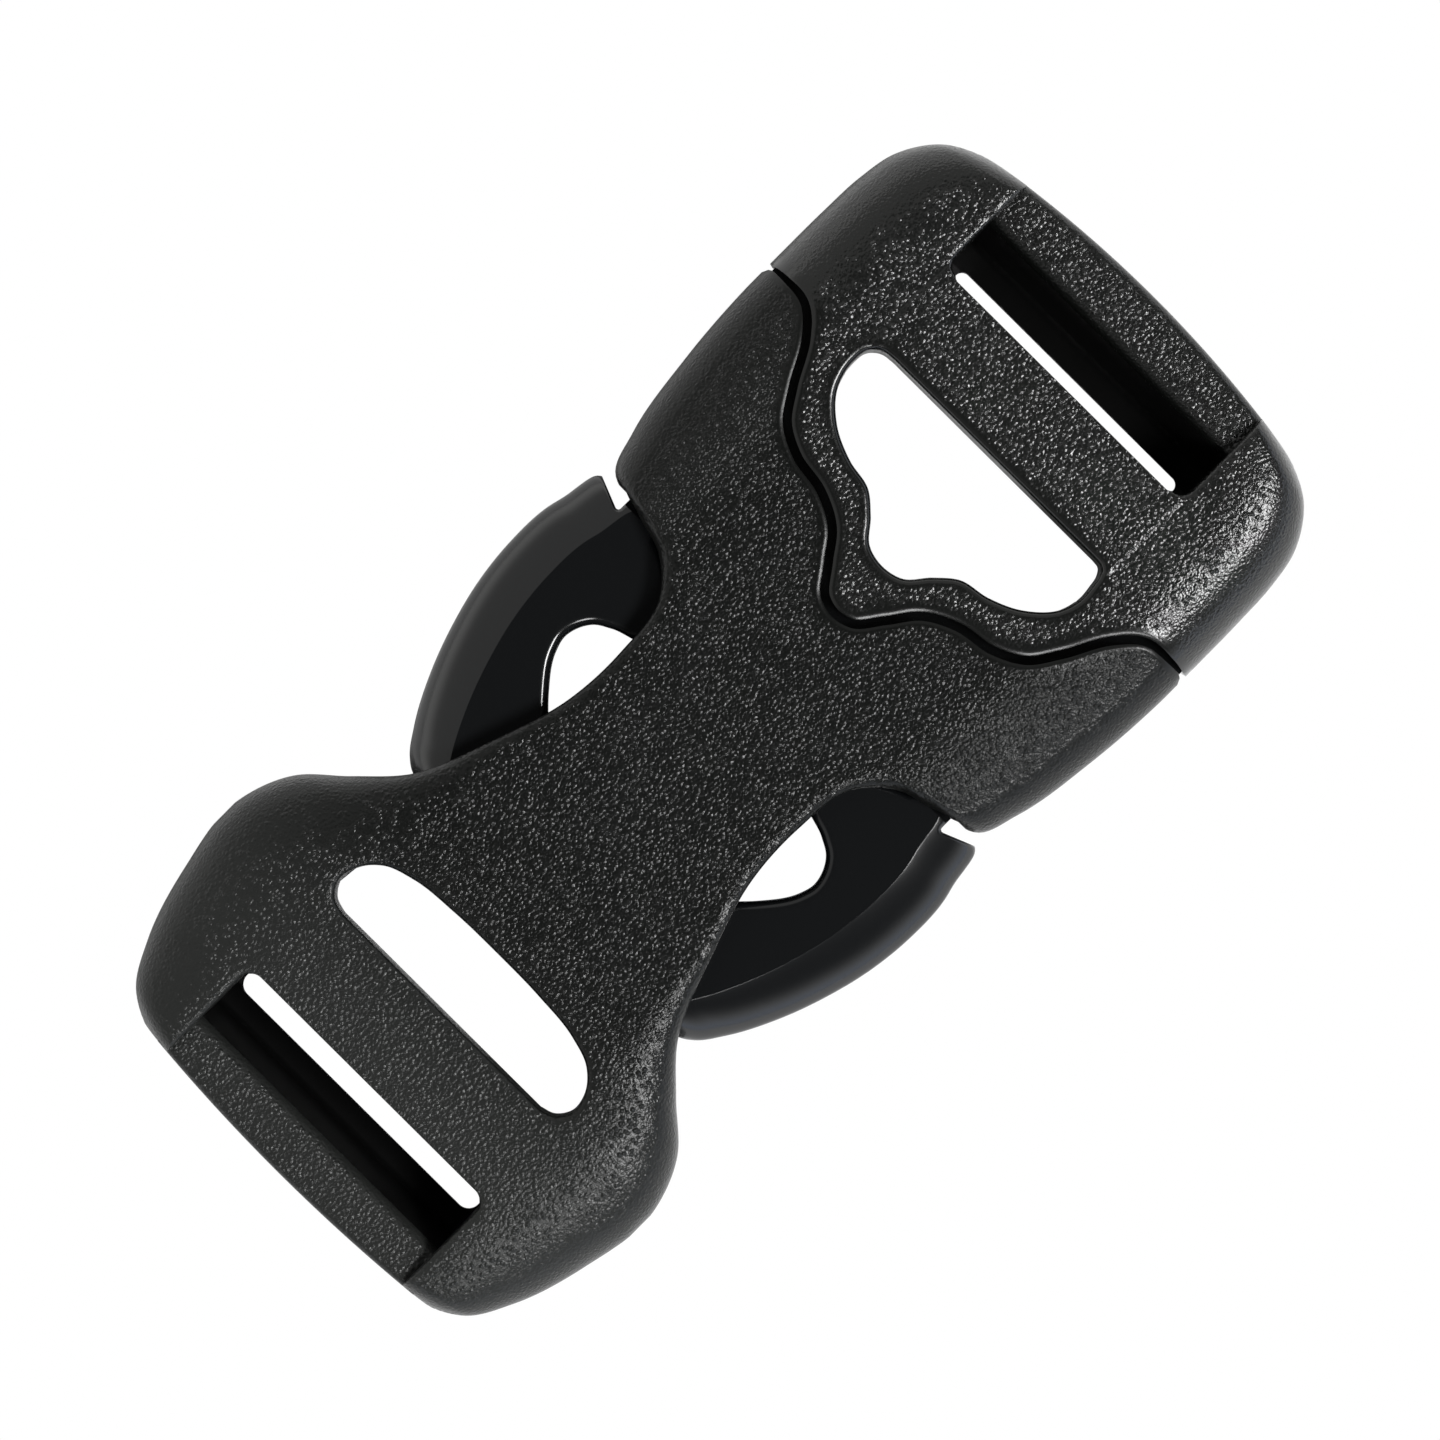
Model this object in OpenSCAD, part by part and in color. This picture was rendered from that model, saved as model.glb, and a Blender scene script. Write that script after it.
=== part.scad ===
// Side release buckle for 15 mm webbing, shown fastened: a socket and a plug, each one moulding.
// X runs along the buckle, with the plug's strap end at +X. Z is up and the part lies on Z = 0.
// The origin is in the middle of the length and width, at the underside.

/* [Body] */
// Width over the rails
width = 28.4; // [28:0.1:30]
// Thickness of both mouldings
thickness = 7.4; // [7:0.1:8.2]
// Width of the large rounding along the outer edges
edge_w = 4.7; // [4:0.1:5]
// Height of that rounding at each face
edge_deep = 3.4; // [2.6:0.1:3.5]
// How far each face falls towards a strap end
end_drop = 0.8; // [0.4:0.1:1]
// Radius of the bowed edge of the socket's strap end
socket_bow_r = 94; // [80:1:150]
// Radius of the bowed edge of the plug's strap end
plug_bow_r = 62; // [55:1:90]

/* [Webbing] */
// Width of the webbing
web_w = 15; // [14.6:0.1:15.4]
// Play between the webbing and the rails, both sides together
web_play = 1; // [0.6:0.1:1.2]
// Height of the top of the end bars
bar_top = 6.3; // [5.6:0.1:6.5]
// Height of the lip at the foot of the end bars
bar_lip = 1.6; // [1.2:0.1:2.4]
// Height of the underside of the cross bars
cross_under = 2.4; // [1.8:0.1:3]

/* [Socket strap end] */
// Width of the flat top of the end bar
socket_bar = 2.6; // [2.4:0.1:3.2]
// Run of the slope down from it
socket_slope = 2.4; // [2:0.1:3]
// Width of the slit
socket_slit = 1; // [0.7:0.1:1.4]
// Width of the cross bar
socket_cross = 5.1; // [4.6:0.1:5.6]
// Width of the wide slot at its middle
wide_slot = 3.9; // [3.4:0.1:4.4]
// Length of the closed body between the wide slot and the waist
socket_land = 3; // [2.8:0.1:4]

/* [Socket waist and mouth] */
// Width of the waist at its narrowest
waist_w = 12.1; // [11:0.1:13]
// Length of the waist, where the prongs stand out
waist_l = 17; // [16:0.1:18.5]
// Length of the mouth along its side walls
mouth_l = 12.7; // [12:0.1:14]
// Thickness of the top and bottom plates
plate_t = 1.3; // [1.1:0.1:1.5]
// Thickness of the mouth's side walls
wall_t = 3.1; // [2.8:0.1:3.4]
// How deep the wavy seam reaches into the mouth
seam_depth = 10.1; // [9:0.1:10.4]

/* [Plug] */
// Length of the frame along its rails
frame_l = 11.4; // [11:0.1:13]
// Width of the flat top of the end bar
plug_bar = 2.95; // [2.6:0.05:3.2]
// Run of the slope down from it
plug_slope = 2.6; // [2.4:0.1:2.9]
// Width of the slit
plug_slit = 0.55; // [0.5:0.05:0.7]
// Width of the cross bar
plug_cross = 4.95; // [4.6:0.05:5.2]
// Width of the frame's front band at its middle
front_band = 3; // [2.6:0.1:3.4]
// Width of the spring arms
arm_w = 2; // [1.6:0.1:2.2]
// Width over both prongs
prong_span = 27.3; // [26.4:0.1:28]
// Width of the rounding along the prongs' outer edge
prong_edge = 2.5; // [2:0.1:3]
// Height of that rounding at each face
prong_deep = 1.4; // [1:0.1:1.8]
// Width of the centre guide
guide_w = 6.4; // [5:0.1:7]
// How far the guide's end stays behind the tips of the prongs
guide_short = 2; // [1:0.1:4]
// Lean of the prongs' shoulders, in degrees
shoulder_lean = 19; // [10:1:25]
// How far the spigot behind the seam stays inside the width, at each side
spigot_inset = 0.8; // [0.8:0.1:1.2]
// Thickness of the spigot
spigot_t = 2.6; // [2:0.1:2.8]
// How far the spigot reaches behind the socket's wavy edge
spigot_reach = 1; // [0.6:0.1:1.4]

/* [Clearances] */
// Gap along the seam between socket and plug
seam_gap = 0.75; // [0.5:0.05:0.9]
// Gap between an arm and the mouth's side wall
arm_gap = 0.15; // [0.1:0.05:0.3]
// Gap between a prong and each plate
plate_gap = 0.2; // [0.1:0.05:0.3]
// Gap between a prong's shoulder and the start of the mouth
lock_gap = 0.9; // [0.6:0.05:1.1]
// Gap between a prong's tip and the closed body
tip_gap = 0.1; // [0.05:0.05:0.3]
// Gap between the spigot and its recess
spigot_gap = 0.15; // [0.1:0.05:0.2]
// How much thinner than the prongs the arms and the guide are, at each face
arm_step = 0.2; // [0.1:0.05:0.4]

/* [Hidden] */

// Finish of both mouldings
moulding_colour = "#1b1c1e";
// Steps of a quarter rounding, and of a curve between two rows of a table
arc_steps = 7;
row_steps = 3;
// Length by which a cut runs past what it cuts
past = 2;
// Height of the upright band that the large rounding leaves at mid height
edge_band = 0.3;
// Length by which a prong's full thickness runs on into its arm
prong_root = 0.5;

mid_z = thickness / 2;
half_w = width / 2;
waist_half = waist_w / 2;
web_half = (web_w + web_play) / 2;

socket_closed = socket_bar + socket_slope + socket_slit + socket_cross + wide_slot + socket_land;
length = socket_closed + waist_l + mouth_l + seam_gap + frame_l;

// Places along X, from the socket's strap end to the plug's
x_start = -length / 2;
x_socket_slit = x_start + socket_bar + socket_slope;
x_socket_cross = x_socket_slit + socket_slit;
x_wide_slot = x_socket_cross + socket_cross;
x_waist = x_start + socket_closed;
x_mouth = x_waist + waist_l;
x_wall = x_mouth + plate_gap;
x_seam = x_mouth + mouth_l;
x_frame = x_seam + seam_gap;
x_end = length / 2;
x_plug_slit = x_end - plug_bar - plug_slope;
x_plug_cross = x_plug_slit - plug_slit;
x_window_end = x_plug_cross - plug_cross;
x_seam_mid = x_seam - seam_depth;
x_window = x_seam_mid + seam_gap + front_band;

// Places across Y and the heights of what lies between the plates
cavity_half = half_w - wall_t;
arm_out = cavity_half - arm_gap;
arm_in = arm_out - arm_w;
prong_half = prong_span / 2;
prong_high = mid_z - plate_t - plate_gap;
arm_high = prong_high - arm_step;
x_prong = x_waist + tip_gap;
x_shoulder = x_mouth - lock_gap;
prong_l = x_shoulder - x_prong;

// Socket outline, one row for each section.
// along: share of the zone's length, from its start (zone 0 closed body, 1 waist, 2 mouth)
// out: 0 at the waist's half width, 1 at the full half width
// edge: share of the large rounding's width
// drop: share of the fall towards the strap end
SOCKET_ROWS = [
    // zone, along, out, edge, drop
    [0, 0.00, 0.24, 0.40, 1.00],
    [0, 0.03, 0.46, 0.50, 0.65],
    [0, 0.08, 0.64, 0.65, 0.35],
    [0, 0.19, 0.79, 0.85, 0.10],
    [0, 0.40, 0.94, 1.00, 0.00],
    [0, 0.62, 1.00, 1.00, 0.00],
    [0, 0.78, 0.87, 1.00, 0.00],
    [0, 0.89, 0.62, 0.75, 0.00],
    [1, 0.00, 0.39, 0.42, 0.00],
    [1, 0.25, 0.165, 0.15, 0.00],
    [1, 0.48, 0.02, 0.13, 0.00],
    [1, 0.68, 0.00, 0.13, 0.00],
    [1, 0.86, 0.06, 0.13, 0.00],
    [1, 0.95, 0.25, 0.30, 0.00],
    [1, 0.99, 0.53, 0.60, 0.00],
    [2, 0.04, 0.78, 0.85, 0.00],
    [2, 0.19, 0.87, 0.95, 0.00],
    [2, 0.53, 0.96, 1.00, 0.00],
    [2, 0.90, 1.00, 1.00, 0.00],
    [2, 1.10, 1.00, 1.00, 0.00]
];

// Plug outline, one row for each section.
// along: share of the frame's length, out: share of the half width, edge and drop as above
PLUG_ROWS = [
    // along, out, edge, drop
    [0.00, 1.000, 1.00, 0.00],
    [0.28, 0.998, 1.00, 0.00],
    [0.49, 0.990, 1.00, 0.00],
    [0.66, 0.963, 0.97, 0.03],
    [0.74, 0.930, 0.90, 0.08],
    [0.83, 0.870, 0.78, 0.20],
    [0.91, 0.755, 0.62, 0.45],
    [0.95, 0.655, 0.52, 0.65],
    [1.00, 0.510, 0.40, 1.00]
];

// Wavy seam from the middle to one side.
// deep: share of the seam's depth, out: share of the half width
SEAM_ROWS = [
    // deep, out
    [1.000, 0.000],
    [0.970, 0.082],
    [0.828, 0.170],
    [0.703, 0.240],
    [0.632, 0.335],
    [0.593, 0.478],
    [0.502, 0.597],
    [0.349, 0.676],
    [0.134, 0.765],
    [0.038, 0.836],
    [0.014, 0.922],
    [0.000, 1.010]
];

// Plug window from the middle to one side.
// along: share of the window's length, out: share of the strap slots' half width
WINDOW_ROWS = [
    // along, out
    [0.000, 0.000],
    [0.033, 0.135],
    [0.178, 0.263],
    [0.290, 0.390],
    [0.337, 0.587],
    [0.442, 0.795],
    [0.614, 0.948],
    [0.799, 0.995],
    [0.924, 0.978],
    [0.985, 0.912],
    [1.000, 0.825]
];

// Wide slot of the socket from the middle round to its straight edge.
// along: share of the slot's width, out as above
WIDE_SLOT_ROWS = [
    // along, out
    [1.000, 0.000],
    [0.985, 0.360],
    [0.915, 0.680],
    [0.780, 0.860],
    [0.580, 0.953],
    [0.240, 0.990],
    [0.060, 0.927],
    [0.000, 0.840]
];

// Outer edge of a prong. along: share of the prong's length from its tip, out: share of half the span
PRONG_ROWS = [
    // along, out
    [0.000, 0.600],
    [0.012, 0.675],
    [0.037, 0.715],
    [0.108, 0.778],
    [0.259, 0.872],
    [0.409, 0.937],
    [0.559, 0.981],
    [0.710, 1.000],
    [0.860, 0.992],
    [1.026, 0.935],
    [1.080, 0.908]
];

// Inner edge of a prong from the arm round its notch to its tip, same columns
PRONG_INNER_ROWS = [
    // along, out
    [1.020, 0.640],
    [0.965, 0.500],
    [0.900, 0.400],
    [0.835, 0.370],
    [0.785, 0.400],
    [0.739, 0.526],
    [0.709, 0.583],
    [0.664, 0.616],
    [0.619, 0.626],
    [0.574, 0.612],
    [0.468, 0.526],
    [0.423, 0.476],
    [0.350, 0.391],
    [0.254, 0.356],
    [0.108, 0.356],
    [0.035, 0.420],
    [-0.020, 0.560]
];

// Length of the straight line between two rows, in the plan
function chord(a, b) = norm([b[0] - a[0], b[1] - a[1]]);

// Direction at a row: that of the parabola through the row and its two neighbours
function heading(rows, i) =
    let (
        last = len(rows) - 1,
        p = rows[max(i - 1, 0)],
        q = rows[i],
        r = rows[min(i + 1, last)],
        d = chord(p, q),
        e = chord(q, r)
    )
    i == 0 ? (r - q) / e : i == last ? (q - p) / d
    : ((q - p) / d * e + (r - q) / e * d) / (d + e);

// Point of the cubic between row i and the next one, t running from 0 to 1
function between(rows, i, t) =
    let (
        d = chord(rows[i], rows[i + 1]),
        s = 1 - t
    )
    rows[i] * (s * s * (1 + 2 * t)) + heading(rows, i) * (d * s * s * t)
    + rows[i + 1] * (t * t * (3 - 2 * t)) - heading(rows, i + 1) * (d * t * t * s);

// Smooth curve through all rows
function curve(rows, steps) = [
    for (i = [0:len(rows) - 2]) for (j = [0:steps - 1]) between(rows, i, j / steps),
    rows[len(rows) - 1]
];

// Half an outline mirrored in the X axis; the first row lies on the axis and is used once
function both_sides(rows) = concat(
    [for (i = [len(rows) - 1:-1:1]) [rows[i][0], -rows[i][1]]],
    rows
);

function backwards(points) = [for (i = [len(points) - 1:-1:0]) points[i]];

// Curve moved to its right hand side by a fixed distance
function moved_aside(points, distance) = [
    for (i = [0:len(points) - 1])
        let (
            way = points[min(i + 1, len(points) - 1)] - points[max(i - 1, 0)],
            side = [way[1], -way[0]] / norm(way)
        )
        points[i] + side * distance
];

// Tables turned into millimetres
zone_start = [x_start, x_waist, x_mouth];
zone_length = [socket_closed, waist_l, mouth_l];
socket_outline = [for (r = SOCKET_ROWS) [
    zone_start[r[0]] + r[1] * zone_length[r[0]],
    waist_half + r[2] * (half_w - waist_half),
    r[3] * edge_w,
    mid_z - r[4] * end_drop
]];
plug_outline = concat(
    [[x_seam_mid - past, half_w, edge_w, mid_z]],
    [for (r = PLUG_ROWS) [
        x_frame + r[0] * frame_l,
        r[1] * half_w,
        r[2] * edge_w,
        mid_z - r[3] * end_drop
    ]]
);
seam_rows = [for (r = SEAM_ROWS) [x_seam - r[0] * seam_depth, r[1] * half_w]];
seam_line = concat(
    [[x_seam, -half_w - past]],
    curve(both_sides(seam_rows), row_steps),
    [[x_seam, half_w + past]]
);
beyond_seam = [[x_end, half_w + past], [x_end, -half_w - past]];
window_rows = [for (r = WINDOW_ROWS) [x_window + r[0] * (x_window_end - x_window), r[1] * web_half]];
slot_rows = [for (r = WIDE_SLOT_ROWS) [x_wide_slot + r[0] * wide_slot, r[1] * web_half]];
prong_outer = [for (r = PRONG_ROWS) [x_prong + r[0] * prong_l, r[1] * prong_half]];
prong_inner = [for (r = PRONG_INNER_ROWS) [x_prong + r[0] * prong_l, r[1] * prong_half]];

// Section across X: flat faces, and an elliptic rounding down to a narrow upright band.
// row holds its place, half width, rounding width and half thickness
function body_section(row) =
    let (
        half = min(row[1], half_w),
        high = min(row[3], mid_z),
        deep = min(row[2] * edge_deep / edge_w, high - edge_band)
    )
    [for (q = [0:3]) for (k = [0:arc_steps])
        let (turn = 90 * (q % 2 == 0 ? k : arc_steps - k) / arc_steps)
        [
            row[0],
            (q < 2 ? 1 : -1) * (half - row[2] * (1 - sin(turn))),
            mid_z + (q == 0 || q == 3 ? 1 : -1) * (high - deep * (1 - cos(turn)))
        ]];

// Section of a prong: flat inside, with the same kind of rounding on its outer side only
function prong_section(row) = concat(
    [[row[0], guide_w / 2, mid_z - prong_high], [row[0], guide_w / 2, mid_z + prong_high]],
    [for (q = [0:1]) for (k = [0:arc_steps])
        let (turn = 90 * (q == 0 ? k : arc_steps - k) / arc_steps)
        [
            row[0],
            row[1] - prong_edge * (1 - sin(turn)),
            mid_z + (q == 0 ? 1 : -1) * (prong_high - prong_deep * (1 - cos(turn)))
        ]]
);

// Solid lofted through sections that all have the same number of points
module loft(sections) {
    n = len(sections[0]);
    last = len(sections) - 1;
    polyhedron(
        points = [for (s = sections) each s],
        faces = concat(
            [[for (k = [n - 1:-1:0]) k]],
            [[for (k = [0:n - 1]) last * n + k]],
            [for (i = [0:last - 1]) for (k = [0:n - 1]) each [
                [i * n + k, (i + 1) * n + (k + 1) % n, (i + 1) * n + k],
                [i * n + k, i * n + (k + 1) % n, (i + 1) * n + (k + 1) % n]
            ]]
        )
    );
}

// Prism through the full thickness over a plan outline
module through(outline) {
    translate([0, 0, -past]) linear_extrude(thickness + 2 * past) polygon(outline);
}

// Rectangle between two places along X, with the same width on both sides
function across(ends, half) = [[ends[0], -half], [ends[1], -half], [ends[1], half], [ends[0], half]];

// Prism between two heights over a plan outline
module slab(outline, low, high) {
    translate([0, 0, low]) linear_extrude(high - low) polygon(outline);
}

// What is cut away at a strap end, drawn looking along Y. end is the outer edge, way is 1 where
// the strap end points to -X and -1 where it points to +X. open_to is a place inside the opening
// behind the cross bar
module strap_cuts(end, way, bar, slope, slit, open_to) {
    translate([end, web_half, 0]) rotate([90, 0, 0]) linear_extrude(2 * web_half) polygon([
        for (p = [
            [-past, thickness + past], [-past, bar_top], [bar, bar_top], [bar + slope, bar_lip],
            [bar + slope, -past], [bar + slope + slit, -past], [bar + slope + slit, thickness + past]
        ]) [way * p[0], p[1]]
    ]);
    // Room for the webbing under the cross bar
    low = min(end + way * (bar + slope), open_to);
    high = max(end + way * (bar + slope), open_to);
    translate([low, -web_half, -past]) cube([high - low, 2 * web_half, cross_under + past]);
}

module female_socket() {
    color(moulding_colour) difference() {
        intersection() {
            loft([for (row = curve(socket_outline, row_steps)) body_section(row)]);
            translate([x_start + socket_bow_r, 0, -past])
                cylinder(h = thickness + 2 * past, r = socket_bow_r, $fn = 180);
        }
        // Everything beyond the wavy seam
        through(concat(seam_line, beyond_seam));
        // Room between the plates for the arms and prongs, open at both sides of the waist
        slab([
            [x_waist, -half_w - past], [x_wall, -half_w - past],
            [x_wall, -cavity_half], [x_end, -cavity_half],
            [x_end, cavity_half], [x_wall, cavity_half],
            [x_wall, half_w + past], [x_waist, half_w + past]
        ], plate_t, thickness - plate_t);
        // Recess in the side walls for the plug's spigot
        intersection() {
            slab(
                concat(moved_aside(seam_line, -spigot_reach - spigot_gap), beyond_seam),
                mid_z - spigot_t / 2 - spigot_gap, mid_z + spigot_t / 2 + spigot_gap
            );
            slab(across([x_start, x_end], half_w - spigot_inset + spigot_gap), 0, thickness);
        }
        strap_cuts(x_start, 1, socket_bar, socket_slope, socket_slit, x_wide_slot + wide_slot / 2);
        through(curve(both_sides(slot_rows), row_steps));
    }
}

// Arm and prong on the +Y side
module arm() {
    intersection() {
        loft([for (row = curve(prong_outer, row_steps)) prong_section(row)]);
        slab(concat(
            [[x_prong - past, half_w + past]],
            [[x_shoulder + (half_w + past - arm_out) * tan(shoulder_lean), half_w + past]],
            [[x_shoulder, arm_out]],
            [[x_shoulder + prong_root, arm_out], [x_shoulder + prong_root, arm_in]],
            curve(prong_inner, row_steps)
        ), 0, thickness);
    }
    slab([
        [x_shoulder - arm_w, arm_in], [x_shoulder - arm_w, arm_out],
        [x_frame + arm_w, arm_out], [x_frame + arm_w, arm_in]
    ], mid_z - arm_high, mid_z + arm_high);
}

// Step that closes the seam from behind: a band along the seam, at mid height
module spigot() {
    intersection() {
        slab(concat(
            moved_aside(seam_line, -spigot_reach),
            backwards(moved_aside(seam_line, seam_gap + spigot_reach / 2))
        ), mid_z - spigot_t / 2, mid_z + spigot_t / 2);
        slab(across([x_start, x_end], half_w - spigot_inset), 0, thickness);
    }
}

module male_plug() {
    color(moulding_colour) union() {
        difference() {
            intersection() {
                loft([for (row = curve(plug_outline, row_steps)) body_section(row)]);
                translate([x_end - plug_bow_r, 0, -past])
                    cylinder(h = thickness + 2 * past, r = plug_bow_r, $fn = 180);
            }
            through(concat(
                moved_aside(seam_line, seam_gap),
                [[x_start, half_w + past], [x_start, -half_w - past]]
            ));
            strap_cuts(x_end, -1, plug_bar, plug_slope, plug_slit, x_window_end - past);
            through(curve(both_sides(window_rows), row_steps));
        }
        arm();
        mirror([0, 1, 0]) arm();
        // Centre guide
        slab(
            across([x_prong + guide_short, x_window - front_band / 2], guide_w / 2),
            mid_z - arm_high, mid_z + arm_high
        );
        spigot();
    }
}

female_socket();
male_plug();
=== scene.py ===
"""Side release buckle, fastened, lying on a pale floor and seen from straight above.

Both mouldings are worked out here in millimetres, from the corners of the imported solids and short
tables of shares, and put into their meshes in metres.
"""
import math

import bpy
import numpy as np
from mathutils import Matrix, Vector


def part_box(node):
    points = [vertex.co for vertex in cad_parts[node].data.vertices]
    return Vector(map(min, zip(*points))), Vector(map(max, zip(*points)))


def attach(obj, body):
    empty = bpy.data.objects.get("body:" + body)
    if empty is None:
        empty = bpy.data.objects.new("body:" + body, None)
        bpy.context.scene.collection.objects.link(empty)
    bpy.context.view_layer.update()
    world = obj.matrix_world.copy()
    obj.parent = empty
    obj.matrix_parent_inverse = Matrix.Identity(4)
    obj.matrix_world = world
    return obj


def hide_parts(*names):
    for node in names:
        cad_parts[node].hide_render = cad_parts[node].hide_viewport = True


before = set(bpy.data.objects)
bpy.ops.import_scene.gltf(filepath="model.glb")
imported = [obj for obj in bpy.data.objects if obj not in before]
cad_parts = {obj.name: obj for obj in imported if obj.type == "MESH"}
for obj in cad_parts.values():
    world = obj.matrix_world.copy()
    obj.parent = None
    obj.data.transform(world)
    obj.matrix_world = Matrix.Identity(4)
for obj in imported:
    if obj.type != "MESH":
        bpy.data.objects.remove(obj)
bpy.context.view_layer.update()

MM = 0.001

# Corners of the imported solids, in millimetres
socket_low, socket_high = (np.array(corner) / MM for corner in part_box("female_socket"))
plug_low, plug_high = (np.array(corner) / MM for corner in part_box("male_plug"))

X_START = socket_low[0]
X_SEAM = socket_high[0]
X_PRONG = plug_low[0]
X_END = plug_high[0]
HALF_W = socket_high[1]
THICK = socket_high[2]
MID_Z = THICK / 2

# Large rounding of the outer edges: width at a small share of it, how far the full rounding of each
# moulding spreads beyond that and how much more gently it starts than an ellipse, height at each
# face, upright band left at mid height. Then the fall to the strap ends, and the radius of their bow
EDGE_W = 4.7
SOCKET_SPREAD, SOCKET_GENTLE = 0.75, 1.7
PLUG_SPREAD, PLUG_GENTLE = -0.02, 0.5
EDGE_DEEP = 3.4
EDGE_BAND = 0.3
END_DROP = 0.8
SOCKET_BOW_R = 94.0
PLUG_BOW_R = 62.0

# Webbing slots and bars: heights are above the underside, and each row below gives the end bar's
# width, its inner slope's width, the slit and the cross bar, from a strap end inwards
WEB_HALF = 8.0
BAR_TOP = 6.3
BAR_LIP = 1.6
BAR_UNDER = 0.6
CROSS_UNDER = 2.4
CROSS_STEP = 0.05
CROSS_STEP_W = 0.3
SOCKET_BAR, SOCKET_SLOPE, SOCKET_SLIT, SOCKET_CROSS = 2.68, 2.32, 1.0, 5.1
PLUG_BAR, PLUG_SLOPE, PLUG_SLIT, PLUG_CROSS = 3.03, 2.52, 0.55, 4.95
WIDE_SLOT = 3.9
CLOSED = 18.0

# Waist, mouth and what lies between the plates
WAIST_HALF = 6.05
WAIST_L = 17.0
MOUTH_L = 12.7
PLATE_T = 1.3
PLATE_GAP = 0.2
WALL_T = 3.1
SEAM_DEPTH = 10.1
SEAM_GAP = 0.75
SEAM_LIP = 0.30
SEAM_CLOSING = 3.0
SEAM_CLOSING_POWER = 0.4
END_GAP = 0.06
SEAM_CORNER = 0.4
PLUG_CORNER = 0.28
FRONT_BAND = 3.0
ARM_W = 2.0
ARM_GAP = 0.15
ARM_STEP = 0.2
ARM_GUSSET = 1.3
ARM_DROP = 0.45
LOCK_GAP = 0.8
PRONG_HALF = 13.65
PRONG_EDGE = 2.5
PRONG_DEEP = 1.9
PRONG_START = 1.04
PRONG_FOOT = 1.6
GUIDE_HALF = 3.2
GUIDE_SHORT = 2.0
SHOULDER_LEAN = math.radians(22)
SHOULDER_CORNER = 0.15
ARM_ROOT_X = 0.5
ARM_ROOT_Y = 0.05
SPIGOT_INSET, SPIGOT_HALF, SPIGOT_REACH, SPIGOT_GAP = 0.8, 1.3, 1.0, 0.15
SHELF_INSET = 0.16

# Small rounding of the cut edges: the seam's lips by their width, their steepest angle and the
# share of the width that is left at the outline, all others by their radius
SEAM_LIP_W = 0.26
SEAM_STEEPEST = math.radians(28)
SEAM_LIP_END = 0.25
SLOT_R = 0.35
POCKET_R = 0.25
POCKET_END_R = 0.33
POCKET_GROWS = (0.6, 0.1)
END_R = 0.7
SLIT_R = 0.12
SHOULDER_R = 0.2
PRONG_R = 0.4

# Corners of the notches and of the end bars' sections, the bars' reach into the rails, the trough
# between a bar and its cross bar, how far each slit stops short of the notch's sides, and the radius
# of its round ends as a share of its width
PLUG_NOTCH_R = 0.7
SOCKET_NOTCH_R = 0.5
BAR_R = 0.45
SOCKET_BAR_R = 0.35
PLUG_BAR_R = 0.6
BAR_IN_R = 0.9
BAR_FOOT_R = 0.3
WEB_INTO = 0.7
TROUGH_AT = 0.42
TROUGH_TOP = 2.3
TROUGH_R = 0.8
SOCKET_SLIT_SHORT = 0.22
PLUG_SLIT_SHORT = 0.7
SLIT_END = 0.49

# Cutting solids: how far they reach beyond what they cut, how far outside their arcs and above the
# face they start, as shares of the arcs' width, so that no face of theirs lies in the face, and the
# least height above the middle at which their arcs end
PAST = 2.0
JUST_PAST = 0.01
FLARE = 1.25
FLARE_RISE = 0.12
CUT_LOW = 0.02

# Spacing of the points along the bodies, the cuts, the prongs and the slits, and a small arc's steps
BODY_STEP = 0.24
CUT_STEP = 0.12
SEAM_STEP = 0.15
PRONG_STEP = 0.15
PRONG_CUT_STEP = 0.1
SLIT_STEP = 0.08
RIM_STEP = 0.3
ARC_STEPS = 6

# Places along X
X_WAIST = X_START + CLOSED
X_MOUTH = X_WAIST + WAIST_L
X_WALL = X_MOUTH + PLATE_GAP
X_FRAME = X_SEAM + SEAM_GAP
X_SEAM_MID = X_SEAM - SEAM_DEPTH
X_SOCKET_CROSS = X_START + SOCKET_BAR + SOCKET_SLOPE + SOCKET_SLIT
X_WIDE_SLOT = X_SOCKET_CROSS + SOCKET_CROSS
X_PLUG_CROSS = X_END - PLUG_BAR - PLUG_SLOPE - PLUG_SLIT
X_WINDOW_END = X_PLUG_CROSS - PLUG_CROSS
X_WINDOW = X_SEAM_MID + SEAM_GAP + FRONT_BAND
X_SHOULDER = X_MOUTH - LOCK_GAP
PRONG_L = X_SHOULDER - X_PRONG
CAVITY_HALF = HALF_W - WALL_T
ARM_OUT = CAVITY_HALF - ARM_GAP
ARM_IN = ARM_OUT - ARM_W
PRONG_HIGH = MID_Z - PLATE_T - PLATE_GAP
ARM_HIGH = PRONG_HIGH - ARM_STEP

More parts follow.
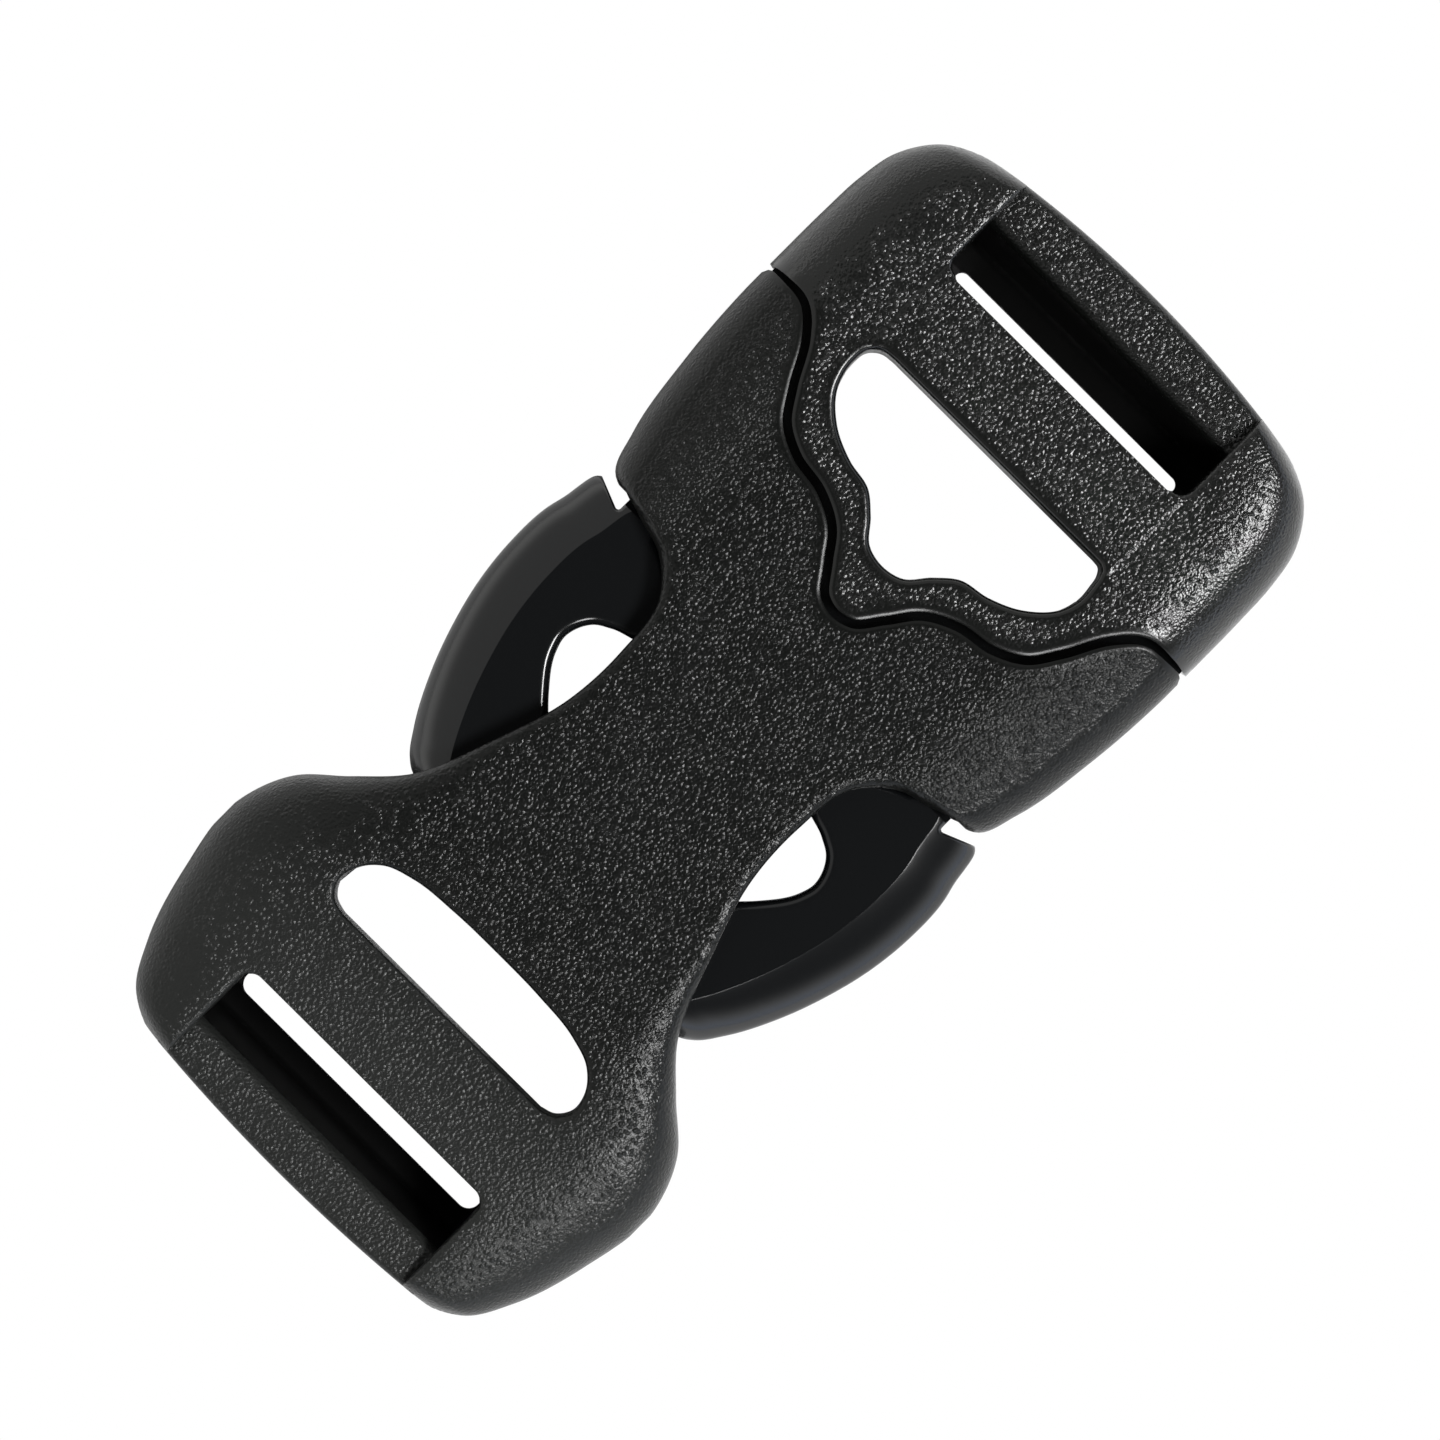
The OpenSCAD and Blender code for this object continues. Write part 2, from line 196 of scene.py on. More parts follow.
# Socket sections: zone (0 closed body, 1 waist, 2 mouth), share of its length, half width from 0 at
# the waist to 1 at the rails, share of the large rounding, share of the fall to the strap end
SOCKET_ROWS = np.array([
    [0, 0.00, 0.24, 0.40, 1.00],
    [0, 0.03, 0.46, 0.50, 0.65],
    [0, 0.08, 0.64, 0.65, 0.35],
    [0, 0.19, 0.79, 0.85, 0.10],
    [0, 0.40, 0.94, 1.00, 0.00],
    [0, 0.62, 1.00, 1.00, 0.00],
    [0, 0.78, 0.87, 1.00, 0.00],
    [0, 0.89, 0.62, 0.75, 0.00],
    [1, 0.00, 0.39, 0.42, 0.00],
    [1, 0.25, 0.165, 0.15, 0.00],
    [1, 0.48, 0.02, 0.13, 0.00],
    [1, 0.68, 0.00, 0.13, 0.00],
    [1, 0.86, 0.06, 0.13, 0.00],
    [1, 0.95, 0.25, 0.30, 0.00],
    [1, 0.99, 0.53, 0.60, 0.00],
    [2, 0.04, 0.78, 0.85, 0.00],
    [2, 0.19, 0.87, 0.95, 0.00],
    [2, 0.53, 0.96, 1.00, 0.00],
    [2, 0.90, 1.00, 1.00, 0.00],
    [2, 1.10, 1.00, 1.00, 0.00],
])
# Plug sections: share of the frame's length, share of the half width, rounding and fall as above
PLUG_ROWS = np.array([
    [0.00, 1.000, 1.00, 0.00],
    [0.28, 0.998, 1.00, 0.00],
    [0.49, 0.990, 1.00, 0.00],
    [0.66, 0.963, 0.97, 0.03],
    [0.74, 0.930, 0.90, 0.08],
    [0.83, 0.870, 0.78, 0.20],
    [0.91, 0.755, 0.62, 0.45],
    [0.95, 0.655, 0.52, 0.65],
    [1.00, 0.510, 0.40, 1.00],
])
# Seam from the middle to one side: share of its depth, share of the half width
SEAM_ROWS = np.array([
    [1.000, 0.000],
    [0.970, 0.082],
    [0.828, 0.170],
    [0.703, 0.240],
    [0.632, 0.335],
    [0.593, 0.478],
    [0.502, 0.597],
    [0.349, 0.676],
    [0.134, 0.765],
    [0.038, 0.836],
    [0.014, 0.922],
    [0.000, 1.010],
])
# Window and wide slot from the middle: share of their length, share of the webbing's half slot
WINDOW_ROWS = np.array([
    [0.000, 0.000],
    [0.033, 0.135],
    [0.178, 0.263],
    [0.290, 0.390],
    [0.337, 0.587],
    [0.442, 0.795],
    [0.614, 0.948],
    [0.799, 0.995],
    [0.924, 0.978],
    [0.985, 0.912],
    [1.000, 0.825],
])
# The window's other side, whose corner is sharper: these rows follow the first seven above
WINDOW_CORNER_ROWS = np.array([
    [0.740, 0.985],
    [0.870, 0.978],
    [0.950, 0.962],
    [0.990, 0.935],
    [1.000, 0.880],
])
WIDE_SLOT_ROWS = np.array([
    [1.000, 0.000],
    [0.985, 0.360],
    [0.915, 0.680],
    [0.780, 0.860],
    [0.580, 0.953],
    [0.240, 0.990],
    [0.060, 0.927],
    [0.000, 0.840],
])
# Outer and inner edge of a prong: share of its length from the tip, share of half the span
PRONG_ROWS = np.array([
    [0.000, 0.600],
    [0.012, 0.675],
    [0.037, 0.715],
    [0.108, 0.778],
    [0.259, 0.872],
    [0.409, 0.937],
    [0.559, 0.981],
    [0.710, 1.000],
    [0.860, 0.993],
    [0.930, 0.974],
    [0.977, 0.966],
    [1.010, 0.959],
    [1.026, 0.953],
    [1.039, 0.942],
    [1.047, 0.925],
    [1.051, 0.895],
])
PRONG_INNER_ROWS = np.array([
    [1.020, 0.640],
    [0.965, 0.500],
    [0.900, 0.400],
    [0.835, 0.370],
    [0.785, 0.400],
    [0.739, 0.526],
    [0.709, 0.583],
    [0.664, 0.616],
    [0.619, 0.626],
    [0.574, 0.612],
    [0.468, 0.526],
    [0.423, 0.476],
    [0.350, 0.391],
    [0.254, 0.356],
    [0.108, 0.356],
    [0.035, 0.420],
    [-0.020, 0.560],
])


# Curves in the plan

def smoothstep(value, start, end):
    """Goes from 0 to 1 while the value goes from start to end, level at both: t * t * (3 - 2 * t)."""
    t = np.clip((value - start) / (end - start), 0, 1)
    return t * t * (3 - 2 * t)


def smooth(rows, steps):
    """Curve through all rows: between two rows a cubic whose direction at each row is that of the
    parabola through the row and its two neighbours, measured along the straight lines between."""
    rows = np.asarray(rows, float)
    chord = np.linalg.norm(np.diff(rows[:, :2], axis=0), axis=1)[:, None]
    slope = np.diff(rows, axis=0) / chord
    inner = (slope[:-1] * chord[1:] + slope[1:] * chord[:-1]) / (chord[:-1] + chord[1:])
    heading = np.vstack([slope[:1], inner, slope[-1:]])
    t = (np.arange(steps) / steps)[None, :, None]
    s = 1 - t
    start, end = rows[:-1, None], rows[1:, None]
    d = chord[:, None]
    points = (
        start * s * s * (1 + 2 * t) + heading[:-1, None] * d * s * s * t
        + end * t * t * (3 - 2 * t) - heading[1:, None] * d * t * t * s
    )
    return np.vstack([points.reshape(-1, rows.shape[1]), rows[-1:]])


def both_sides(rows):
    """Half an outline mirrored in the X axis; the first row lies on the axis and is used once."""
    return np.vstack([rows[:0:-1] * [1, -1], rows])


def moved_aside(points, distance):
    """Each point of an open curve moved by a fixed distance to the right of the curve's way."""
    way = np.gradient(points, axis=0)
    side = np.stack([way[:, 1], -way[:, 0]], 1)
    return points + side / np.linalg.norm(side, axis=1)[:, None] * distance


def even(points, spacing, closed=False):
    """The same curve with points at equal distances along it, about one spacing apart."""
    if closed:
        points = np.vstack([points, points[:1]])
    run = np.concatenate([[0], np.cumsum(np.linalg.norm(np.diff(points, axis=0), axis=1))])
    count = max(int(run[-1] / spacing), 3)
    at = np.linspace(0, run[-1], count + 1)
    result = np.stack([np.interp(at, run, points[:, k]) for k in range(points.shape[1])], 1)
    return result[:-1] if closed else result


def rounded(corners, radii, steps=ARC_STEPS):
    """Closed polygon whose corners are arcs: each arc touches both edges at its own radius."""
    corners = np.asarray(corners, float)
    before = np.roll(corners, 1, axis=0) - corners
    after = np.roll(corners, -1, axis=0) - corners
    points = []
    for corner, a, b, radius in zip(corners, before, after, radii):
        a, b = a / np.linalg.norm(a), b / np.linalg.norm(b)
        half_angle = math.acos(np.clip(a @ b, -1, 1)) / 2
        if radius <= 0:
            points.append(corner[None])
            continue
        middle = corner + (a + b) / np.linalg.norm(a + b) * radius / math.sin(half_angle)
        first = corner + a * radius / math.tan(half_angle) - middle
        last = corner + b * radius / math.tan(half_angle) - middle
        t = np.linspace(0, 1, steps + 1)[:, None]
        turn = math.pi - 2 * half_angle
        arc = (np.sin((1 - t) * turn) * first + np.sin(t * turn) * last) / math.sin(turn)
        points.append(middle + arc)
    return np.vstack(points)


# Heights of the two mouldings

def sections(points, spread, gentle):
    """Function that gives, at any place along X: half width, half thickness, and the rounding's
    width, height and power. Its height falls by the share 1 - sqrt(1 - t ** power), where t goes
    from 0 to 1 across its width: 2 is a quarter ellipse, and 3 starts more gently."""
    def at(x):
        half = np.minimum(np.interp(x, points[:, 0], points[:, 1]), HALF_W)
        share = np.interp(x, points[:, 0], points[:, 2])
        high = np.minimum(np.interp(x, points[:, 0], points[:, 3]), MID_Z)
        edge = EDGE_W * share * (1 + spread * share ** 2)
        deep = np.minimum(EDGE_DEEP * share, high - EDGE_BAND)
        return half, high, edge, deep, 2 + gentle * share ** 2
    return at


def height_over(at):
    """Height of a moulding's upper face above mid height: flat, then the rounding to the edge."""
    def top(x, y):
        half, high, edge, deep, power = at(x)
        t = np.clip((np.abs(y) - half + edge) / edge, 0, 1)
        return high - deep * (1 - np.sqrt(1 - t ** power))
    return top


# Meshes

def mesh_object(name, points, faces):
    """Object at the origin with its place in its mesh, from points in millimetres."""
    mesh = bpy.data.meshes.new(name)
    mesh.from_pydata((np.asarray(points) * MM).tolist(), [], [list(map(int, f)) for f in faces])
    obj = bpy.data.objects.new(name, mesh)
    bpy.context.scene.collection.objects.link(obj)
    return obj


def tube(name, rings):
    """Closed solid from rings of equally many points: quads between rings, one face at each end."""
    rings = np.asarray(rings, float)
    count, n = rings.shape[:2]
    i, k = np.meshgrid(np.arange(count - 1), np.arange(n), indexing="ij")
    a, b = i * n + k, i * n + (k + 1) % n
    quads = np.stack([a, b, b + n, a + n], -1).reshape(-1, 4)
    faces = [*quads, np.arange(n)[::-1], (count - 1) * n + np.arange(n)]
    return mesh_object(name, rings.reshape(-1, 3), faces)


def body_loft(name, x, at):
    """Shell of a moulding: at each place along X a ring with flat faces and rounded sides. The turn
    of the rounding goes from 0 to a right angle, in finer steps where it starts."""
    half, high, edge, deep, power = (v[:, None] for v in at(x))
    turn = np.linspace(0, 1, 25)[None] ** 1.3 * math.pi / 2
    flat = np.linspace(-1, 1, 37)[None, 1:-1]
    round_y = half - edge * (1 - np.sin(turn) ** (2 / power))
    round_z = high - deep * (1 - np.cos(turn))
    flat_y = flat * (half - edge)
    flat_z = high + 0 * flat_y
    y = np.hstack([flat_y, round_y, round_y[:, ::-1], -flat_y, -round_y, -round_y[:, ::-1]])
    z = np.hstack([flat_z, round_z, -round_z[:, ::-1], -flat_z, -round_z, round_z[:, ::-1]])
    return tube(name, np.stack([x[:, None] + 0 * y, y, MID_Z + z], -1))


def cutter(name, loop, width, top, steepest=math.pi / 2):
    """Solid over a closed plan loop, to be cut away. Its walls are upright and flare out to both
    faces of the moulding in arcs, so the cut leaves a small rounded edge there. The arcs start level
    with the faces and turn to the steepest angle, a quarter circle if it is a right angle. Their
    width in the plan is one number, or one for each point of the loop."""
    way = np.roll(loop, -1, axis=0) - np.roll(loop, 1, axis=0)
    out = np.stack([way[:, 1], -way[:, 0]], 1) / np.linalg.norm(way, axis=1)[:, None]
    area = np.sum(loop[:, 0] * np.roll(loop[:, 1], -1) - np.roll(loop[:, 0], -1) * loop[:, 1])
    out *= np.sign(area)
    turn = np.linspace(0, steepest, ARC_STEPS + 1)
    offsets = np.concatenate([[FLARE, FLARE], 1 - np.sin(turn) / math.sin(steepest)])
    depths = np.concatenate([[0, -FLARE_RISE], (1 - np.cos(turn)) / math.sin(steepest)])
    width = np.broadcast_to(width, len(loop))
    rings = []
    for offset, depth in zip(offsets, depths):
        plan = loop + out * (offset * width)[:, None]
        z = np.maximum(top(plan[:, 0], plan[:, 1]) - depth * width, CUT_LOW)
        rings.append(np.column_stack([plan, z]))
    rings[0][:, 2] = MID_Z + PAST
    upper = np.array(rings)
    lower = upper[::-1] * [1, 1, -1]
    rings = np.concatenate([upper, lower])
    rings[:, :, 2] += MID_Z
    if area > 0:
        rings = rings[::-1]
    return tube(name, rings)


def slab(name, loop, low, high):
    """Upright prism over a plan loop, between two heights."""
    loop = np.asarray(loop, float)
    loop = loop[np.linalg.norm(loop - np.roll(loop, 1, axis=0), axis=1) > 1e-3]
    area = np.sum(loop[:, 0] * np.roll(loop[:, 1], -1) - np.roll(loop[:, 0], -1) * loop[:, 1])
    if area < 0:
        loop = loop[::-1]
    rings = [np.column_stack([loop, np.full(len(loop), z)]) for z in (low, high)]
    return tube(name, rings)


def box_across(x_low, x_high, half):
    """Rectangle between two places along X, with the same width on both sides."""
    return np.array([[x_low, -half], [x_high, -half], [x_high, half], [x_low, half]])


def boolean(obj, tool, operation):
    """Combines obj with a tool solid, which is used up."""
    step = obj.modifiers.new(operation, "BOOLEAN")
    step.solver = "MANIFOLD"
    step.operation = operation
    step.object = tool
    bpy.context.view_layer.update()
    result = bpy.data.meshes.new_from_object(obj.evaluated_get(bpy.context.evaluated_depsgraph_get()))
    obj.modifiers.clear()
    obj.data = result
    bpy.data.objects.remove(tool)


def cut(obj, *tools):
    """Takes each tool solid away from obj."""
    for tool in tools:
        boolean(obj, tool, "DIFFERENCE")


def join(obj, *tools):
    """Makes each tool solid one with obj."""
    for tool in tools:
        boolean(obj, tool, "UNION")


def report(obj):
    """Prints how fine a finished piece's mesh is."""
    mesh = obj.data
    mesh.calc_loop_triangles()
    print(obj.name, len(mesh.vertices), "points", len(mesh.loop_triangles), "triangles")


# Plan outlines of the cuts

seam_half = np.column_stack([X_SEAM - SEAM_ROWS[:, 0] * SEAM_DEPTH, SEAM_ROWS[:, 1] * HALF_W])
seam_curve = even(smooth(both_sides(seam_half), 12), SEAM_STEP)


def seam_side(distance, corner):
    """Seam moved aside and run straight out past both rails. The distance may differ from point to
    point. corner is the radius that rounds the corner between this face and the rails' outline,
    with its sign saying to which side the face turns away."""
    line = moved_aside(seam_curve, 1.0) - seam_curve
    line = seam_curve + line * np.reshape(distance, (-1, 1))
    radius = abs(corner)
    t = np.clip((np.abs(line[:, 1]) - HALF_W + radius) / max(radius, 0.01), 0, 1)
    line[:, 0] += corner * (1 - np.sqrt(1 - t * t))
    first, last = line[:1].copy(), line[-1:].copy()
    first[0, 1], last[0, 1] = -HALF_W - PAST, HALF_W + PAST
    return np.vstack([first, line, last])


# The groove narrows towards the outline, where the two mouldings all but touch
seam_taper = np.clip((HALF_W - np.abs(seam_curve[:, 1])) / SEAM_CLOSING, 0, 1) ** SEAM_CLOSING_POWER
seam_lip = SEAM_LIP * seam_taper
seam_gap = END_GAP + (SEAM_GAP - END_GAP) * seam_taper


def seam_strip(name, left, right, inside):
    """Solid between two lines that follow the seam, as far out as inside, at the spigot's height:
    an upright rectangle carried along the seam."""
    keep = np.abs(seam_curve[:, 1]) < inside
    left, right = left[1:-1][keep], right[1:-1][keep]
    rings = np.empty((len(left), 4, 3))
    rings[:, 0:2, :2] = left[:, None]
    rings[:, 2:4, :2] = right[:, None]
    rings[:, :, 2] = MID_Z + SPIGOT_HALF * np.array([-1, 1, 1, -1])
    return tube(name, rings)


def seam_lip_width(loop):
    """Width of the seam's rounded lip: whole on the top, and a share of it at the outline."""
    share = np.clip((HALF_W - np.abs(loop[:, 1])) / SEAM_CLOSING, 0, 1)
    return SEAM_LIP_W * (SEAM_LIP_END + (1 - SEAM_LIP_END) * share)


def bow(y, radius):
    """Distance of a bowed end from its foremost point, at a place across Y."""
    return radius - np.sqrt(radius ** 2 - y ** 2)


def end_region(x_end, way, radius):
    """Everything outside a bowed strap end."""
    y = np.linspace(-HALF_W - PAST, HALF_W + PAST, 200)
    arc = np.column_stack([x_end + way * bow(y, radius), y])
    far = x_end - way * 3 * PAST
    return np.vstack([arc, [[far, y[-1]], [far, y[0]]]])


def notch(x_outside, x_cross, corner):
    """Open notch from outside a strap end to its cross bar, with rounded inner corners."""
    box = np.array([
        [x_outside, -WEB_HALF], [x_cross, -WEB_HALF], [x_cross, WEB_HALF], [x_outside, WEB_HALF],
    ])
    return even(rounded(box, [0, corner, corner, 0]), CUT_STEP, closed=True)


def pocket_radius(loop):
    """Radius of a notch's rim: small along the cross bar, growing smoothly just before the rails."""
    grows = smoothstep(np.abs(loop[:, 1]), WEB_HALF - POCKET_GROWS[0], WEB_HALF - POCKET_GROWS[1])
    return POCKET_R + (POCKET_END_R - POCKET_R) * grows


def end_bar(name, x_end, way, width, slope, x_cross, radius, outer):
    """End bar: its section carried across Y, with the outer side following the bowed end. Its inner
    side falls steeply and runs out in a shallow trough up to the cross bar."""
    foot = width + slope
    reach = abs(x_cross - x_end) + WEB_INTO
    section = rounded(
        [
            [0, BAR_UNDER], [0, BAR_TOP], [width, BAR_TOP], [width + slope * TROUGH_AT, TROUGH_TOP],
            [foot, BAR_LIP], [reach, BAR_LIP], [reach, BAR_UNDER],
        ],
        [BAR_R, outer, BAR_IN_R, TROUGH_R, BAR_FOOT_R, 0, 0], 8,
    )
    y = np.linspace(-WEB_HALF - WEB_INTO, WEB_HALF + WEB_INTO, 61)
    weight = np.clip(1 - section[:, 0] / width, 0, 1)
    rings = np.empty((len(y), len(section), 3))
    rings[:, :, 0] = x_end + way * (section[None, :, 0] + bow(y, radius)[:, None] * weight)
    rings[:, :, 1] = y[:, None]
    rings[:, :, 2] = section[None, :, 1]
    return tube(name, rings[::-1] if way < 0 else rings)


def slit(name, x_foot, x_cross, short):
    """Slit through the trough beside the cross bar, with round ends that stop short of the notch."""
    low, high = min(x_foot, x_cross), max(x_foot, x_cross)
    box = box_across(low, high, WEB_HALF - short)
    loop = even(rounded(box, [(high - low) * SLIT_END] * 4), SLIT_STEP, closed=True)
    return cutter(name, loop, SLIT_R, lambda x, y: BAR_LIP - MID_Z + 0 * x)


# Socket

socket_zone = SOCKET_ROWS[:, 0].astype(int)
socket_points = np.column_stack([
    np.array([X_START, X_WAIST, X_MOUTH])[socket_zone]
    + SOCKET_ROWS[:, 1] * np.array([CLOSED, WAIST_L, MOUTH_L])[socket_zone],
    WAIST_HALF + SOCKET_ROWS[:, 2] * (HALF_W - WAIST_HALF),
    SOCKET_ROWS[:, 3],
    MID_Z - SOCKET_ROWS[:, 4] * END_DROP,
])
socket_curve = smooth(socket_points, 40)
socket_at = sections(socket_curve, SOCKET_SPREAD, SOCKET_GENTLE)
socket_top = height_over(socket_at)


def make_socket():
    """Socket: the shell, less the seam and all beyond it, the bowed end, the cavity between the
    plates, the recess for the spigot, the notch and the wide slot, with the end bar put in."""
    x = even(socket_curve[:, :2], BODY_STEP)[:, 0]
    body = body_loft("socket", x, socket_at)
    beyond = np.array([[X_END, HALF_W + PAST], [X_END, -HALF_W - PAST]])
    loop = np.vstack([seam_side(seam_lip, -SEAM_CORNER), beyond])
    cut(body, cutter("seam", loop, seam_lip_width(loop), socket_top, SEAM_STEEPEST))
    cut(body, cutter("end", end_region(X_START, 1, SOCKET_BOW_R), END_R, socket_top))
    cavity = [
        [X_WAIST, -HALF_W - PAST], [X_WALL, -HALF_W - PAST], [X_WALL, -CAVITY_HALF],
        [X_END, -CAVITY_HALF], [X_END, CAVITY_HALF], [X_WALL, CAVITY_HALF],
        [X_WALL, HALF_W + PAST], [X_WAIST, HALF_W + PAST],
    ]
    cut(body, slab("cavity", cavity, PLATE_T, THICK - PLATE_T))
    recess = np.vstack([seam_side(0, 0) - [SPIGOT_REACH + 1.5 * SPIGOT_GAP, 0], beyond])
    inside = HALF_W - SPIGOT_INSET + SPIGOT_GAP
    recess[:, 1] = np.clip(recess[:, 1], -inside, inside)
    recess_half = SPIGOT_HALF + SPIGOT_GAP
    cut(body, slab("recess", recess, MID_Z - recess_half, MID_Z + recess_half))
    loop = notch(X_START - PAST, X_SOCKET_CROSS, SOCKET_NOTCH_R)
    cut(body, cutter("notch", loop, pocket_radius(loop), socket_top))
    slot = np.column_stack([
        X_WIDE_SLOT + WIDE_SLOT_ROWS[:, 0] * WIDE_SLOT, WIDE_SLOT_ROWS[:, 1] * WEB_HALF,
    ])
    slot = even(smooth(both_sides(slot), 16), CUT_STEP, closed=True)
    cut(body, cutter("slot", slot, SLOT_R, socket_top))
    under = box_across(X_SOCKET_CROSS - JUST_PAST, X_WIDE_SLOT + WIDE_SLOT / 2, WEB_HALF)
    cut(body, slab("under", under, -PAST, CROSS_UNDER))
    join(body, end_bar(
        "bar", X_START, 1, SOCKET_BAR, SOCKET_SLOPE, X_SOCKET_CROSS, SOCKET_BOW_R, SOCKET_BAR_R,
    ))
    cut(body, slit("slit", X_START + SOCKET_BAR + SOCKET_SLOPE, X_SOCKET_CROSS, SOCKET_SLIT_SHORT))
    return body


socket = make_socket()
report(socket)


# Plug

plug_points = np.vstack([
    [[X_SEAM_MID - PAST, HALF_W, 1, MID_Z]],
    np.column_stack([
        X_FRAME + PLUG_ROWS[:, 0] * (X_END - X_FRAME),
        PLUG_ROWS[:, 1] * HALF_W,
        PLUG_ROWS[:, 2],
        MID_Z - PLUG_ROWS[:, 3] * END_DROP,
    ]),
])
plug_curve = smooth(plug_points, 40)
plug_at = sections(plug_curve, PLUG_SPREAD, PLUG_GENTLE)
plug_top = height_over(plug_at)

prong_curve = smooth(PRONG_ROWS * [PRONG_L, PRONG_HALF] + [X_PRONG, 0], 24)


def prong_top(x, y):
    """Height of a prong's upper face above mid height: flat, then a bevel that sets in quickly and
    grows steeper to the edge. With t from 0 to 1 across it, its height is the share
    (1 - t ** PRONG_START) ** (1 / PRONG_FOOT)."""
    half = np.interp(x, prong_curve[:, 0], prong_curve[:, 1])
    t = np.clip((np.abs(y) - half + PRONG_EDGE) / PRONG_EDGE, 0, 1)
    return PRONG_HIGH - PRONG_DEEP * (1 - (1 - t ** PRONG_START) ** (1 / PRONG_FOOT))


def make_prong(side):
    """Prong and arm on one side: a shell with one rounded side, cut to its inner edge and shoulder.
    The flat part's rows of points are closer together near the crease where the bevel starts."""
    x = even(prong_curve, PRONG_STEP)[:, 0]
    half = np.interp(x, prong_curve[:, 0], prong_curve[:, 1])[:, None]
    turn = np.linspace(0, math.pi / 2, 25)[None]
    round_y = half - PRONG_EDGE * (1 - np.sin(turn) ** (2 / PRONG_START))
    round_z = PRONG_HIGH - PRONG_DEEP * (1 - np.abs(np.cos(turn)) ** (2 / PRONG_FOOT)) + 0 * half
    flat = 1 - np.linspace(1, 0, 31)[None, :-1] ** 2
    flat_y = GUIDE_HALF + flat * (half - PRONG_EDGE - GUIDE_HALF)
    flat_z = PRONG_HIGH + 0 * flat_y
    y = np.hstack([flat_y, round_y, round_y[:, ::-1], flat_y[:, ::-1]])
    z = np.hstack([flat_z, round_z, -round_z[:, ::-1], -flat_z])
    prong = tube("prong", np.stack([x[:, None] + 0 * y, y, MID_Z + z], -1))
    inner = smooth(PRONG_INNER_ROWS * [PRONG_L, PRONG_HALF] + [X_PRONG, 0], 16)
    beside = np.vstack([
        even(inner, PRONG_CUT_STEP), [[X_PRONG - PAST, inner[-1, 1]], [X_PRONG - PAST, 0]],
        [[X_MOUTH + PAST, 0], [X_MOUTH + PAST, inner[0, 1]]],
    ])
    cut(prong, cutter("inner", beside, PRONG_R, prong_top))
    lean = (HALF_W + PAST - ARM_OUT) * math.tan(SHOULDER_LEAN)
    shoulder = rounded([
        [X_SHOULDER, ARM_OUT], [X_SHOULDER + lean, HALF_W + PAST],
        [X_MOUTH + 2 * PAST, HALF_W + PAST], [X_MOUTH + 2 * PAST, ARM_OUT],
    ], [SHOULDER_CORNER, 0, 0, 0])
    shoulder = even(shoulder, PRONG_CUT_STEP, closed=True)
    cut(prong, cutter("shoulder", shoulder, SHOULDER_R, prong_top))
    x_root, y_root = X_SHOULDER + ARM_ROOT_X, ARM_OUT + ARM_ROOT_Y
    cut(prong, slab("rest", [
        [x_root, 0], [X_MOUTH + 2 * PAST, 0], [X_MOUTH + 2 * PAST, y_root], [x_root, y_root],
    ], -PAST, THICK + PAST))
    join(prong, slab("arm", [
        [X_SHOULDER - ARM_W, ARM_IN - ARM_GUSSET], [X_SHOULDER - ARM_W, ARM_OUT],
        [X_FRAME + ARM_W, ARM_OUT], [X_FRAME + ARM_W, ARM_IN],
        [X_MOUTH + 2 * ARM_GUSSET, ARM_IN], [X_MOUTH + ARM_GUSSET / 2, ARM_IN - ARM_GUSSET],
    ], MID_Z - ARM_HIGH + ARM_DROP, MID_Z + ARM_HIGH - ARM_DROP))
    if side < 0:
        prong.data.transform(Matrix.Scale(-1, 4, Vector((0, 1, 0))))
        prong.data.flip_normals()
    return prong


# One corner of the window is sharper than the other
other_side = np.vstack([WINDOW_ROWS[:7], WINDOW_CORNER_ROWS])
window_rows = np.vstack([other_side[:0:-1] * [1, -1], WINDOW_ROWS])
window_loop = window_rows * [X_WINDOW_END - X_WINDOW, WEB_HALF] + [X_WINDOW, 0]
window_loop = even(smooth(window_loop, 16), CUT_STEP, closed=True)


